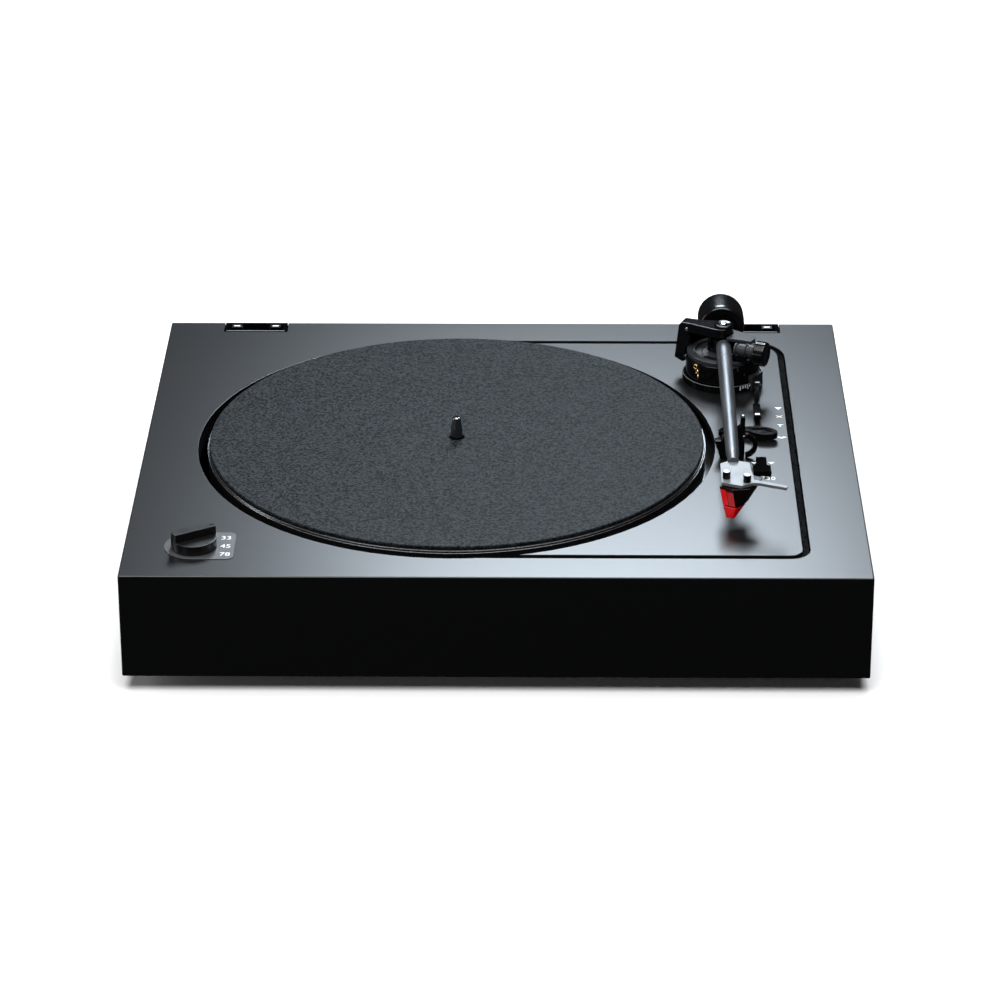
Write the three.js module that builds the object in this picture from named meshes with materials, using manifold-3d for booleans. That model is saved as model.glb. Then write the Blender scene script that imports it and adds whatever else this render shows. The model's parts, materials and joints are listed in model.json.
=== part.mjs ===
// A belt-driven automatic record player: plinth with a suspended arm board, platter with mat, gimbal
// tonearm, controls, and the drive inside. Millimetres, +Z up, X to the right, Y to the back. The origin
// is on the floor, under the middle of the plinth.
import * as THREE from 'three';
import { mergeVertices } from 'three/addons/utils/BufferGeometryUtils.js';
import Module from 'manifold-3d';

const wasm = await Module();
wasm.setup();

// ---------------------------------------------------------------- driving dimensions
const GAP = 0.3;
const WIDTH = 430;
const DEPTH = 365;
const FOOT_H = 9.4;
const PLINTH_H = 64.6;
const DECK = FOOT_H + PLINTH_H;
const WALL = 16;
const DECK_T = 12;
const EDGE = 0.8;

const PLATTER_AT = [-25.7, -1.5];
const WELL_R = 157;
const PLATTER_R = 151;
const MAT_R = 150;
const SPINDLE_R = 3.6;
const SPINDLE_TIP = 17;
const SUB_PLATTER_R = 62;
const PINION_R = 13;

const BOARD_T = 4;
const BOARD_HOLE = { right: 180.7, front: -157.8, back: 154, frontRadius: 12, backRadius: 24 };
const GROOVE_W = 4.2;

const MOTOR_AT = [-103.7, 76.5];
const PULLEY_R = 7;
const CAM_R = 44;
const CAM_ANGLE = 30;

const SUB_CHASSIS_Z = 44;
const SUB_CHASSIS_T = 3;

const PIVOT = [139.8, 96];
const GIMBAL_TURN = -22;
const ARM_TURN = -0.4;
const ARM_Z = 24.5;
const DRUM_R = 23.2;
const DRUM_TOP = 16.8;
const RING_R = 25.3;
const TUBE_END = 172.5;
const BEAM_Z = [29.5, 35.5];
const WEIGHT_R = 14.75;
const WEIGHT_DROP = 3.1;
const WEIGHT_Y = [28.5, 56.5];
const BRACKET_R = 27.2;

const KNOB_AT = [-174.2, -145];
const KNOB_R = 13.3;
const KNOB_TURN = 31;

const LEVER_AXIS = [160.4, 74, 4];
const START_AT = [138, 8.3];
const SELECTOR_AT = [158.1, -37.5];
const REST_Y = -22;
const LATCH_X = 148;

// ---------------------------------------------------------------- closed meshes and booleans
function closed(geometry) {
  const bare = geometry.index ? geometry.toNonIndexed() : geometry.clone();
  bare.deleteAttribute('normal');
  bare.deleteAttribute('uv');
  const merged = mergeVertices(bare, 1e-4);
  const place = merged.attributes.position;
  const index = Array.from(merged.index.array);
  const faces = [];
  let volume = 0;
  for (let i = 0; i < index.length; i += 3) {
    const [a, b, c] = index.slice(i, i + 3);
    if (a === b || b === c || c === a) {
      continue;
    }
    faces.push(a, b, c);
    const [p, q, r] = [a, b, c].map((k) => new THREE.Vector3().fromBufferAttribute(place, k));
    volume += p.dot(q.cross(r));
  }
  if (volume < 0) {
    faces.reverse();
  }
  merged.setIndex(faces);
  merged.computeVertexNormals();
  return merged;
}

function solid(geometry) {
  const shell = closed(geometry);
  const vertProperties = new Float32Array(shell.attributes.position.array);
  const triVerts = new Uint32Array(shell.index.array);
  return new wasm.Manifold(new wasm.Mesh({ numProp: 3, vertProperties, triVerts }));
}

function geometryOf(manifold) {
  const mesh = manifold.getMesh();
  const geometry = new THREE.BufferGeometry();
  geometry.setAttribute('position', new THREE.BufferAttribute(new Float32Array(mesh.vertProperties), 3));
  geometry.setIndex(Array.from(mesh.triVerts));
  geometry.computeVertexNormals();
  return geometry;
}

function cut(geometry, ...tools) {
  const rest = tools.reduce((body, tool) => body.subtract(solid(tool)), solid(geometry));
  return geometryOf(rest);
}

function join(...pieces) {
  const whole = pieces.slice(1).reduce((body, piece) => body.add(solid(piece)), solid(pieces[0]));
  return geometryOf(whole);
}

function common(a, b) {
  return geometryOf(solid(a).intersect(solid(b)));
}

// ---------------------------------------------------------------- basic shapes
function box(x0, x1, y0, y1, z0, z1) {
  const geometry = new THREE.BoxGeometry(x1 - x0, y1 - y0, z1 - z0);
  return geometry.translate((x0 + x1) / 2, (y0 + y1) / 2, (z0 + z1) / 2);
}

function cylinder(radius, z0, z1, x = 0, y = 0, sides = 20) {
  const geometry = new THREE.CylinderGeometry(radius, radius, z1 - z0, sides);
  return geometry.rotateX(Math.PI / 2).translate(x, y, (z0 + z1) / 2);
}

// Turns a profile of [radius, height] points about Z. Profiles off the axis are closed on themselves.
function turned(profile, sides = 40) {
  const points = profile.map(([r, z]) => new THREE.Vector2(r, z));
  const last = profile[profile.length - 1];
  if (profile[0][0] > 0 || last[0] > 0) {
    points.push(points[0].clone());
  }
  return new THREE.LatheGeometry(points, sides).rotateX(Math.PI / 2);
}

function extruded(shape, z0, z1, curveSegments = 8) {
  const geometry = new THREE.ExtrudeGeometry(shape, { depth: z1 - z0, bevelEnabled: false, curveSegments });
  return geometry.translate(0, 0, z0);
}

function polygon(points) {
  return new THREE.Shape(points.map(([x, y]) => new THREE.Vector2(x, y)));
}

// A rectangle whose corner radii are given as [front left, front right, back right, back left].
function roundedRectangle(x0, x1, y0, y1, radii) {
  const [fl, fr, br, bl] = radii;
  const shape = new THREE.Shape();
  shape.moveTo(x0 + fl, y0);
  shape.lineTo(x1 - fr, y0);
  shape.absarc(x1 - fr, y0 + fr, fr, -Math.PI / 2, 0, false);
  shape.lineTo(x1, y1 - br);
  shape.absarc(x1 - br, y1 - br, br, 0, Math.PI / 2, false);
  shape.lineTo(x0 + bl, y1);
  shape.absarc(x0 + bl, y1 - bl, bl, Math.PI / 2, Math.PI, false);
  shape.lineTo(x0, y0 + fl);
  shape.absarc(x0 + fl, y0 + fl, fl, Math.PI, 1.5 * Math.PI, false);
  return shape;
}

function arcBand(inner, outer, fromDeg, toDeg) {
  const from = THREE.MathUtils.degToRad(fromDeg);
  const to = THREE.MathUtils.degToRad(toDeg);
  const shape = new THREE.Shape();
  shape.absarc(0, 0, outer, from, to, false);
  shape.absarc(0, 0, inner, to, from, true);
  return shape;
}

// A gear or knurl outline: a tooth is a trapezium between the root and tip radii.
function toothedOutline(root, tip, teeth) {
  const points = [];
  for (let i = 0; i < teeth; i += 1) {
    for (const [part, radius] of [[0, root], [0.4, root], [0.55, tip], [0.85, tip]]) {
      const angle = ((i + part) / teeth) * 2 * Math.PI;
      points.push([radius * Math.cos(angle), radius * Math.sin(angle)]);
    }
  }
  return polygon(points);
}

// Lays a shape made along +Z so that it runs along +Y (back) or +X (right) instead.
const alongBack = (geometry) => geometry.rotateX(-Math.PI / 2);
const alongRight = (geometry) => geometry.rotateY(Math.PI / 2);

// ---------------------------------------------------------------- materials
const finish = {
  plinth: [0x2b2d30, 0.5, 0.0],
  board: [0x303336, 0.45, 0.3],
  blackPlastic: [0x0c0c0d, 0.35, 0.0],
  foam: [0x101112, 0.95, 0.0],
  rubber: [0x121212, 0.9, 0.0],
  steel: [0x9a9da0, 0.35, 0.9],
  chrome: [0xd8dadc, 0.12, 1.0],
  castAluminium: [0x7f8386, 0.4, 0.8],
  felt: [0x3a3d41, 0.98, 0.0],
  brass: [0xb08d45, 0.3, 0.9],
  tube: [0x6c747b, 0.4, 0.6],
  silver: [0xb4bcc2, 0.4, 0.6],
  red: [0xb00d12, 0.3, 0.0],
  darkPlastic: [0x1a1012, 0.35, 0.0],
  circuit: [0x184a2c, 0.6, 0.1],
};

const model = new THREE.Group();

function add(parent, name, geometry, look, place = [0, 0, 0]) {
  const [color, roughness, metalness] = finish[look];
  const material = new THREE.MeshStandardMaterial({ color, roughness, metalness, flatShading: true });
  const mesh = new THREE.Mesh(closed(geometry), material);
  mesh.name = name;
  mesh.position.set(...place);
  parent.add(mesh);
}

function group(parent, place, turnDeg = 0) {
  const child = new THREE.Group();
  child.position.set(...place);
  child.rotation.z = THREE.MathUtils.degToRad(turnDeg);
  parent.add(child);
  return child;
}

// ---------------------------------------------------------------- plinth and its fixed pieces
const SOCKET = { halfWidth: 20.2, depth: 14.7, height: 9.7, x: 159.5 };
const PANEL = { x: 100, halfWidth: 56, halfHeight: 18, z: 36, inset: 10.8 };

function boardOutline(inset) {
  const { right, front, back, frontRadius, backRadius } = BOARD_HOLE;
  const radii = [1, Math.max(frontRadius - inset, 4), backRadius - inset, 1];
  return roundedRectangle(PLATTER_AT[0], right - inset, front + inset, back - inset, radii);
}

function plinthShell() {
  const outline = roundedRectangle(
    -WIDTH / 2 + EDGE, WIDTH / 2 - EDGE, -DEPTH / 2 + EDGE, DEPTH / 2 - EDGE, [0.2, 0.2, 0.2, 0.2],
  );
  const block = new THREE.ExtrudeGeometry(outline, {
    depth: PLINTH_H - 2 * EDGE,
    bevelThickness: EDGE,
    bevelSize: EDGE,
    bevelSegments: 2,
    curveSegments: 2,
  }).translate(0, 0, FOOT_H + EDGE);
  const insideX = WIDTH / 2 - WALL;
  const insideY = DEPTH / 2 - WALL;
  const cavity = box(-insideX, insideX, -insideY, insideY, 0, DECK - DECK_T);
  const well = cylinder(WELL_R, DECK - DECK_T - 1, DECK + 1, ...PLATTER_AT, 84);
  const boardHole = extruded(boardOutline(0), DECK - DECK_T - 1, DECK + 1);
  const knobHole = cylinder(4, DECK - DECK_T - 1, DECK + 1, ...KNOB_AT, 20);
  const pockets = [-1, 1].map((side) => box(
    side * SOCKET.x - SOCKET.halfWidth - GAP, side * SOCKET.x + SOCKET.halfWidth + GAP,
    DEPTH / 2 - SOCKET.depth - GAP, DEPTH / 2 + 1, DECK - SOCKET.height - GAP, DECK + 1,
  ));
  const { x, halfWidth, halfHeight, z, inset } = PANEL;
  const panelPocket = box(
    x - halfWidth, x + halfWidth, DEPTH / 2 - inset, DEPTH / 2 + 1, z - halfHeight, z + halfHeight,
  );
  const panelHole = box(
    x - halfWidth + 4, x + halfWidth - 4, insideY - 1, DEPTH / 2, z - halfHeight + 4, z + halfHeight - 4,
  );
  return cut(block, cavity, well, boardHole, knobHole, ...pockets, panelPocket, panelHole);
}

function bottomCover() {
  const edge = WALL + GAP;
  const plate = box(
    -WIDTH / 2 + edge, WIDTH / 2 - edge, -DEPTH / 2 + edge, DEPTH / 2 - edge, FOOT_H + GAP, FOOT_H + 2.8,
  );
  const slots = [];
  for (let i = 0; i < 7; i += 1) {
    const x = -145 + 9 * i;
    slots.push(box(x - 2, x + 2, 60, 100, FOOT_H - 1, FOOT_H + 4));
  }
  return cut(plate, ...slots);
}

function hingeSocket() {
  const { halfWidth, depth, height } = SOCKET;
  const body = box(-halfWidth, halfWidth, 0, depth, -height, 0);
  const trench = box(-halfWidth + 3, halfWidth - 3, 3, depth - 3.2, -7, 1);
  const throat = box(-7, 7, 5, depth - 1.2, -7, 1);
  const bridges = [-1, 1].map((side) => box(side * 9 - 1, side * 9 + 1, 2.5, depth - 3, -8, -1));
  return join(cut(body, trench, throat), ...bridges);
}

function labelPlate() {
  const left = new THREE.Shape();
  const right = 23.2;
  const corner = 4;
  left.absarc(-0.3, 1, 17.2, Math.PI / 2, 1.5 * Math.PI, false);
  left.lineTo(right - corner, -16.2);
  left.absarc(right - corner, -16.2 + corner, corner, -Math.PI / 2, 0, false);
  left.lineTo(right, 18.2 - corner);
  left.absarc(right - corner, 18.2 - corner, corner, 0, Math.PI / 2, false);
  return cut(extruded(left, 0.05, 0.45), cylinder(3.4, -1, 1, 0, 0, 20));
}

add(model, 'plinth_shell', plinthShell(), 'plinth');
add(model, 'bottom_cover', bottomCover(), 'blackPlastic');
const footProfile = [[0, 0], [20, 0], [22, 1.4], [24, 6], [24, FOOT_H], [0, FOOT_H]];
let footNumber = 0;
for (const x of [-165, 165]) {
  for (const y of [-130, 130]) {
    footNumber += 1;
    add(model, `foot_${footNumber}`, turned(footProfile, 20), 'rubber', [x, y, 0]);
  }
}
for (const [name, side] of [['left', -1], ['right', 1]]) {
  const place = [side * SOCKET.x, DEPTH / 2 - SOCKET.depth, DECK];
  add(model, `hinge_socket_${name}`, hingeSocket(), 'blackPlastic', place);
}
add(model, 'label_plate', labelPlate(), 'silver', [...KNOB_AT, DECK]);

// ---------------------------------------------------------------- rear connections
const JACK_X = [-42, -22];
const GROUND_X = -4;
const POWER_X = 36;
const PLATE_BACK = PANEL.inset - GAP - 2;

function rearPlate() {
  const { halfWidth, halfHeight } = PANEL;
  const plate = box(-halfWidth + GAP, halfWidth - GAP, -2, 0, -halfHeight + GAP, halfHeight - GAP);
  const holes = JACK_X.map((x) => alongBack(cylinder(3.8, -3, 1, 0, 0, 20)).translate(x, 0, 0));
  holes.push(alongBack(cylinder(2.3, -3, 1, 0, 0, 16)).translate(GROUND_X, 0, 0));
  holes.push(box(POWER_X - 5, POWER_X + 5, -3, 1, -6, 6));
  return cut(plate, ...holes);
}

const rear = group(model, [PANEL.x, DEPTH / 2 - PLATE_BACK, PANEL.z]);
add(rear, 'rear_plate', rearPlate(), 'blackPlastic');
const jackProfile = [
  [0, -6], [3.5, -6], [3.5, GAP], [5.5, GAP], [5.5, 1.5], [4.1, 1.5], [4.1, 8], [1.7, 8], [1.7, 2], [0, 2],
];
JACK_X.forEach((x, i) => {
  add(rear, `output_jack_${['left', 'right'][i]}`, alongBack(turned(jackProfile, 12)), 'brass', [x, 0, 0]);
});
const groundProfile = [[0, -6], [2, -6], [2, GAP], [4.5, GAP], [4.5, 6.6], [4, 7.2], [0, 7.2]];
add(rear, 'ground_post', alongBack(turned(groundProfile, 12)), 'chrome', [GROUND_X, 0, 0]);
const powerBody = cut(box(-4.7, 4.7, -5.5, 3, -5.7, 5.7), alongBack(cylinder(3, -3, 4, 0, 0, 20)));
add(rear, 'power_socket', powerBody, 'blackPlastic', [POWER_X, 0, 0]);

// ---------------------------------------------------------------- suspended arm board and sub-chassis
const SELECTOR_SLOT = { halfWidth: 5, halfDepth: 2.2 };

function armBoard() {
  const plate = extruded(boardOutline(GROOVE_W), DECK - BOARD_T, DECK);
  const well = cylinder(WELL_R, DECK - 20, DECK + 20, ...PLATTER_AT, 84);
  const armHole = cylinder(7.4, DECK - 10, DECK + 10, ...PIVOT, 16);
  const { halfWidth, halfDepth } = SELECTOR_SLOT;
  const slot = box(-halfWidth, halfWidth, -halfDepth, halfDepth, DECK - 10, DECK + 10);
  return cut(plate, well, armHole, slot.translate(...SELECTOR_AT, 0));
}

function grooveSeal() {
  const outer = extruded(boardOutline(GAP), DECK - 5.5, DECK - 2);
  const inner = extruded(boardOutline(GROOVE_W - GAP), DECK - 8, DECK);
  const well = cylinder(WELL_R + GAP, DECK - 20, DECK + 20, ...PLATTER_AT, 84);
  const frontEnd = box(-60, 16, -170, -100, DECK - 8, DECK);
  const backEnd = box(-60, 16, 100, 170, DECK - 8, DECK);
  return cut(outer, inner, well, frontEnd, backEnd);
}

const CAM_DISTANCE = PINION_R + CAM_R + 0.6;
const CAM_AT = [
  PLATTER_AT[0] + CAM_DISTANCE * Math.cos(THREE.MathUtils.degToRad(CAM_ANGLE)),
  PLATTER_AT[1] + CAM_DISTANCE * Math.sin(THREE.MathUtils.degToRad(CAM_ANGLE)),
];

function subChassis() {
  const z1 = SUB_CHASSIS_Z + SUB_CHASSIS_T;
  const plate = extruded(roundedRectangle(-72, 174, -146, 144, [20, 12, 12, 20]), SUB_CHASSIS_Z, z1);
  const bearingHole = cylinder(8.4, 0, 100, ...PLATTER_AT, 32);
  const axle = cylinder(3, SUB_CHASSIS_Z + 1, 57, ...CAM_AT, 16);
  return join(cut(plate, bearingHole), axle);
}

add(model, 'arm_board', armBoard(), 'board');
add(model, 'groove_seal', grooveSeal(), 'foam');
add(model, 'sub_chassis', subChassis(), 'steel');
const standoffPlaces = [[160, 128], [150, -128], [166, 20]];
const standoffBottom = SUB_CHASSIS_Z + SUB_CHASSIS_T + GAP;
standoffPlaces.forEach(([x, y], i) => {
  const post = cylinder(5, standoffBottom, DECK - BOARD_T - GAP, 0, 0, 16);
  add(model, `standoff_${i + 1}`, post, 'steel', [x, y, 0]);
});
const damperPlaces = [[-52, -110], [-52, 110], [140, 0]];
const damperBase = FOOT_H + 2.8 + GAP;
const damperTop = SUB_CHASSIS_Z - GAP;
const damperProfile = [
  [0, damperBase], [11, damperBase], [11, damperBase + 4], [7, damperBase + 11],
  [7, damperTop - 11], [11, damperTop - 4], [11, damperTop], [0, damperTop],
];
damperPlaces.forEach(([x, y], i) => {
  add(model, `damper_${i + 1}`, turned(damperProfile, 12), 'rubber', [x, y, 0]);
});

// ---------------------------------------------------------------- bearing, platter and drive
const bearingProfile = [
  [0, 26], [8, 26], [8, 47.3], [16, 47.3], [16, 50.3], [8, 50.3], [8, 57], [3.9, 57], [3.9, 29], [0, 29],
];
const subPlatterProfile = [
  [3.9, 58], [8.4, 58], [8.4, 51], [PINION_R, 51], [PINION_R, 65], [56, 65], [56, 57.5],
  [SUB_PLATTER_R, 57.5], [SUB_PLATTER_R, 69], [3.9, 69],
];
const platterProfile = [
  [3.9, 69.3], [66, 69.3], [66, 71.5], [140, 71.5], [143, 60], [PLATTER_R, 60], [PLATTER_R, DECK],
  [PLATTER_R - 0.7, DECK + 1.3], [PLATTER_R - 2.2, DECK + 2], [3.9, DECK + 2],
];
const matProfile = [
  [4.6, DECK + 2.3], [MAT_R, DECK + 2.3], [MAT_R, DECK + 3.6], [MAT_R - 0.4, DECK + 4], [4.6, DECK + 4],
];
const spindleProfile = [
  [0, 29.4], [SPINDLE_R, 29.4], [SPINDLE_R, DECK + SPINDLE_TIP - 3.4], [3, DECK + SPINDLE_TIP - 1.6],
  [1.7, DECK + SPINDLE_TIP - 0.4], [0, DECK + SPINDLE_TIP],
];
const turntable = group(model, [...PLATTER_AT, 0]);
add(turntable, 'bearing_housing', turned(bearingProfile, 18), 'brass');
add(turntable, 'sub_platter', turned(subPlatterProfile, 32), 'blackPlastic');
add(turntable, 'platter', turned(platterProfile, 64), 'castAluminium');
add(turntable, 'slip_mat', turned(matProfile, 64), 'felt');
add(turntable, 'spindle', turned(spindleProfile, 20), 'chrome');

function camGear() {
  const wheel = extruded(toothedOutline(CAM_R - 2, CAM_R, 28), 51, 55);
  return cut(wheel, cylinder(3.3, 40, 60, 0, 0, 16));
}
add(model, 'cam_gear', camGear(), 'blackPlastic', [...CAM_AT, 0]);

// A loop that lies on both wheels: two arcs joined by their common tangents.
function beltOutline(bigR, smallR, distance) {
  const lean = Math.acos((bigR - smallR) / distance);
  const shape = new THREE.Shape();
  shape.absarc(0, 0, bigR, lean, 2 * Math.PI - lean, false);
  shape.absarc(distance, 0, smallR, -lean, lean, false);
  shape.closePath();
  return shape;
}

function driveBelt() {
  const thickness = 0.8;
  const distance = Math.hypot(MOTOR_AT[0] - PLATTER_AT[0], MOTOR_AT[1] - PLATTER_AT[1]);
  const turn = Math.atan2(MOTOR_AT[1] - PLATTER_AT[1], MOTOR_AT[0] - PLATTER_AT[0]);
  const outerR = SUB_PLATTER_R + GAP + thickness;
  const outer = extruded(beltOutline(outerR, PULLEY_R + GAP + thickness, distance), 60, 65, 14);
  const inner = extruded(beltOutline(SUB_PLATTER_R + GAP, PULLEY_R + GAP, distance), 58, 67, 14);
  return cut(outer, inner).rotateZ(turn);
}
add(model, 'drive_belt', driveBelt(), 'rubber', [...PLATTER_AT, 0]);

const drive = group(model, [...MOTOR_AT, 0]);
const motorProfile = [
  [0, 25], [17, 25], [18, 26], [18, 49], [17, 50], [2.2, 50], [2.2, 48], [15, 48], [15, 27.4], [0, 27.4],
];
add(drive, 'motor', turned(motorProfile, 20), 'steel');
const bracketPlate = box(-26, 26, -20, 20, 50.3, 52.3);
const bracketLegs = [-25, 25].map((x) => box(x - 1, x + 1, -20, 20, FOOT_H + 3.2, 51));
add(drive, 'motor_bracket', cut(join(bracketPlate, ...bracketLegs), cylinder(3, 40, 60)), 'steel');
// The pulley, its shaft and the rotor inside the motor, in one turned piece.
const pulleyProfile = [
  [0, 28], [14.4, 28], [14.4, 47.4], [1.5, 47.4], [1.5, 57], [PULLEY_R + 1.2, 57],
  [PULLEY_R + 1.2, 58.6], [PULLEY_R, 59.2], [PULLEY_R, 65.8], [PULLEY_R + 1.2, 66.4],
  [PULLEY_R + 1.2, 68], [0, 68],
];
add(drive, 'motor_pulley', turned(pulleyProfile, 20), 'brass');

// ---------------------------------------------------------------- electronics and speed knob
function controlBoard() {
  const board = box(0, 55, 0, 80, 0, 1.6);
  const capacitors = [[12, 14], [12, 32], [30, 60]].map(([x, y]) => cylinder(5, 1, 14, x, y, 16));
  const chips = [[34, 14], [34, 34]].map(([x, y]) => box(x, x + 12, y, y + 8, 1, 4));
  const terminals = box(8, 46, 72, 79, 1, 11);
  return join(board, ...capacitors, ...chips, terminals);
}

function speedKnob() {
  const skirtProfile = [[0, 0.8], [KNOB_R, 0.8], [KNOB_R, 6], [KNOB_R - 0.6, 6.6], [0, 6.6]];
  const bar = box(-KNOB_R - 1, KNOB_R + 1, -2.65, 2.65, 6, 11.5);
  const notch = box(KNOB_R - 2.6, KNOB_R + 1, -0.5, 0.5, 10.6, 12);
  const grip = cut(common(bar, cylinder(KNOB_R - 0.05, 5, 13, 0, 0, 32)), notch);
  return join(turned(skirtProfile, 32), grip, cylinder(3, -20, 2, 0, 0, 20));
}

add(model, 'control_board', controlBoard(), 'circuit', [-190, -110, 16]);
const switchBody = cut(box(-8, 8, -8, 8, -24, -DECK_T - GAP), cylinder(3.3, -21, 0, 0, 0, 20));
add(model, 'speed_switch', switchBody, 'blackPlastic', [...KNOB_AT, DECK]);
const knob = group(model, [...KNOB_AT, DECK], KNOB_TURN);
add(knob, 'speed_knob', speedKnob(), 'blackPlastic');

// ---------------------------------------------------------------- tonearm base
const LIFT_R = 15;
const LIFT_MID = -113;
const BORE_R = 4.3;

const liftHole = (z0, z1) => cylinder(
  1.8, z0, z1,
  LIFT_R * Math.cos(THREE.MathUtils.degToRad(LIFT_MID)),
  LIFT_R * Math.sin(THREE.MathUtils.degToRad(LIFT_MID)), 16,
);

function yokeGeometry() {
  const outline = polygon([
    [-31, 11], [-25.5, 8.7], [-23.6, 9.8], [-23.6, DRUM_TOP + 3], [-21.5, DRUM_TOP + 3.8], [-21.5, BEAM_Z[0]],
    [7, BEAM_Z[0]], [7, BEAM_Z[1]], [-26.4, BEAM_Z[1]], [-28.4, BEAM_Z[1] - 2],
  ]);
  const slab = extruded(outline, -7, 7).rotateX(Math.PI / 2);
  const plan = polygon([
    [-32, -4], [-20, -4.4], [-5, -6.9], [0, -6.9], [3, -5.1], [5, -3.1], [5.9, 0], [5, 3.1], [3, 5.1],
    [0, 6.9], [-5, 6.9], [-20, 4.4], [-32, 4],
  ]);
  return common(slab, extruded(plan, 0, 50));
}

function liftBracket() {
  const wall = extruded(arcBand(RING_R + GAP, BRACKET_R, -50, -24), 0.1, 9.6);
  const ledge = extruded(arcBand(DRUM_R + GAP, RING_R + 1, -50, -24), 5.2, 9.6);
  return join(wall, ledge);
}

const armBase = group(model, [...PIVOT, DECK]);
const drumProfile = [
  [BORE_R, -9], [7, -9], [7, 0.3], [20, 0.3], [20, 5], [DRUM_R, 5], [DRUM_R, DRUM_TOP - 0.6],
  [DRUM_R - 0.6, DRUM_TOP], [BORE_R, DRUM_TOP],
];
add(armBase, 'arm_drum', cut(turned(drumProfile, 36), liftHole(-12, 30)), 'blackPlastic');
const drumPlate = turned([
  [BORE_R, DRUM_TOP + GAP], [22.6, DRUM_TOP + GAP], [22.6, DRUM_TOP + 2.7], [17.6, DRUM_TOP + 2.7],
  [17.6, DRUM_TOP + 1.1], [BORE_R, DRUM_TOP + 1.1],
], 36);
add(armBase, 'drum_plate', cut(drumPlate, liftHole(0, 30)), 'silver');
const ringProfile = [[20.4, 0.4], [RING_R, 0.4], [RING_R, 4.6], [20.4, 4.6]];
add(armBase, 'antiskate_ring', turned(ringProfile, 36), 'blackPlastic');
add(armBase, 'lift_bracket', liftBracket(), 'silver');
const yokeFrame = group(armBase, [0, 0, 0], GIMBAL_TURN);
add(yokeFrame, 'yoke', yokeGeometry(), 'blackPlastic');
const capProfile = [
  [0, BEAM_Z[1] + 0.05], [5.75, BEAM_Z[1] + 0.05], [5.75, BEAM_Z[1] + 1.2], [5, BEAM_Z[1] + 1.8],
  [2.4, BEAM_Z[1] + 1.8], [2.2, BEAM_Z[1] + 2.4], [0, BEAM_Z[1] + 2.4],
];
add(armBase, 'yoke_cap', turned(capProfile, 20), 'blackPlastic');

// ---------------------------------------------------------------- gimbal, turns about the upright axis
const DIAL_N = -11.4;
const DIAL_Z = 26;

function gimbalFrame() {
  const bridge = box(-9.5, 9.5, -3, 3, 28.2, 29.2);
  const sides = [-1, 1].map((s) => box(s * 8.25 - 1.25, s * 8.25 + 1.25, -2.5, 2.5, 18.6, 29));
  const floor = box(-9.5, 9.5, -2.5, 2.5, 18.4, 19.4);
  const spindle = cylinder(4, -20, 19, 0, 0, 16);
  const trip = extruded(polygon([[-5, -7], [5, -7], [3, -62], [-3, -62]]), -19, -17).rotateZ(-0.87);
  const hub = cylinder(8, -19, -17, 0, 0, 16);
  return join(bridge, ...sides, floor, spindle, hub, trip);
}

function gimbalWing() {
  const outline = polygon([
    [3.5, 6.3], [5.4, 3.6], [6.5, 0], [5.9, -2.6], [4.7, -8.2], [21, -7.6], [22, -2.3], [20.5, 2.1],
  ]);
  return extruded(outline, BEAM_Z[0], BEAM_Z[0] + 2);
}

const dialShaftProfile = [
  [0, 11.9], [4.4, 11.9], [4.4, 13.2], [3.5, 13.6], [3.5, 14.4], [4.4, 14.8],
  [4.4, 19.4], [3.4, 19.8], [3.4, 20.8], [4.6, 21.2], [4.6, 24.9], [0, 24.9],
];
add(yokeFrame, 'gimbal_frame', gimbalFrame(), 'blackPlastic');
add(yokeFrame, 'gimbal_wing', gimbalWing(), 'silver');
const dialGroup = group(yokeFrame, [0, DIAL_N, DIAL_Z]);
add(dialGroup, 'dial_shaft', alongRight(turned(dialShaftProfile, 16)), 'steel');
const dialProfile = [[0, 25.2], [7.8, 25.2], [7.8, 31.9], [7, 32.9], [0, 32.9]];
add(dialGroup, 'force_dial', alongRight(turned(dialProfile, 24)), 'blackPlastic');

// ---------------------------------------------------------------- arm, tilts in the gimbal
function pivotBlock() {
  const block = cylinder(6.6, 20.2, 27.4, 0, 0, 32);
  const stub = alongBack(cylinder(3.5, 3, 46, 0, 0, 16)).translate(0, 0, ARM_Z);
  return join(block, stub);
}

const tubeProfile = [
  [0, 6.9], [4.7, 6.9], [4.7, 29.2], [4.4, 29.4], [4.4, 29.8], [4.6, 30], [3.95, 166], [2.9, 168.5],
  [2.9, 169.5], [3.2, 169.8], [3.2, TUBE_END], [0, TUBE_END],
];

const SCREWS = [[-6.1, -198.2], [5.7, -202.9]];

function headshell() {
  const plate = extruded(polygon([
    [-8.9, -178.2], [-4, -174.4], [2, -174.4], [8.1, -176.8], [9.9, -199.8], [28.9, -208.2],
    [28.2, -211], [13.2, -204.8], [9.3, -204.4], [2.3, -208.6], [-9.1, -203.8],
  ]), 22.7, 24.5);
  const neck = alongBack(cylinder(2.6, -176, -TUBE_END - GAP, 0, 0, 16)).translate(-1.2, 0, ARM_Z);
  const shelf = box(-12, 12, -190, -170, 10, 22.8);
  const holes = SCREWS.map(([x, y]) => cylinder(1.5, 20, 30, x, y, 16));
  return cut(join(plate, neck), shelf, ...holes);
}

// A slanted prism between a lower and an upper outline with the same number of corners.
function tapered(lower, upper, z0, z1) {
  const geometry = new THREE.BufferGeometry();
  const corners = [...lower.map(([x, y]) => [x, y, z0]), ...upper.map(([x, y]) => [x, y, z1])];
  geometry.setAttribute('position', new THREE.Float32BufferAttribute(corners.flat(), 3));
  const count = lower.length;
  const faces = [];
  for (let i = 1; i < count - 1; i += 1) {
    faces.push(0, i + 1, i, count, count + i, count + i + 1);
  }
  for (let i = 0; i < count; i += 1) {
    const j = (i + 1) % count;
    faces.push(i, j, j + count, i, j + count, i + count);
  }
  geometry.setIndex(faces);
  return geometry;
}

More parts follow.
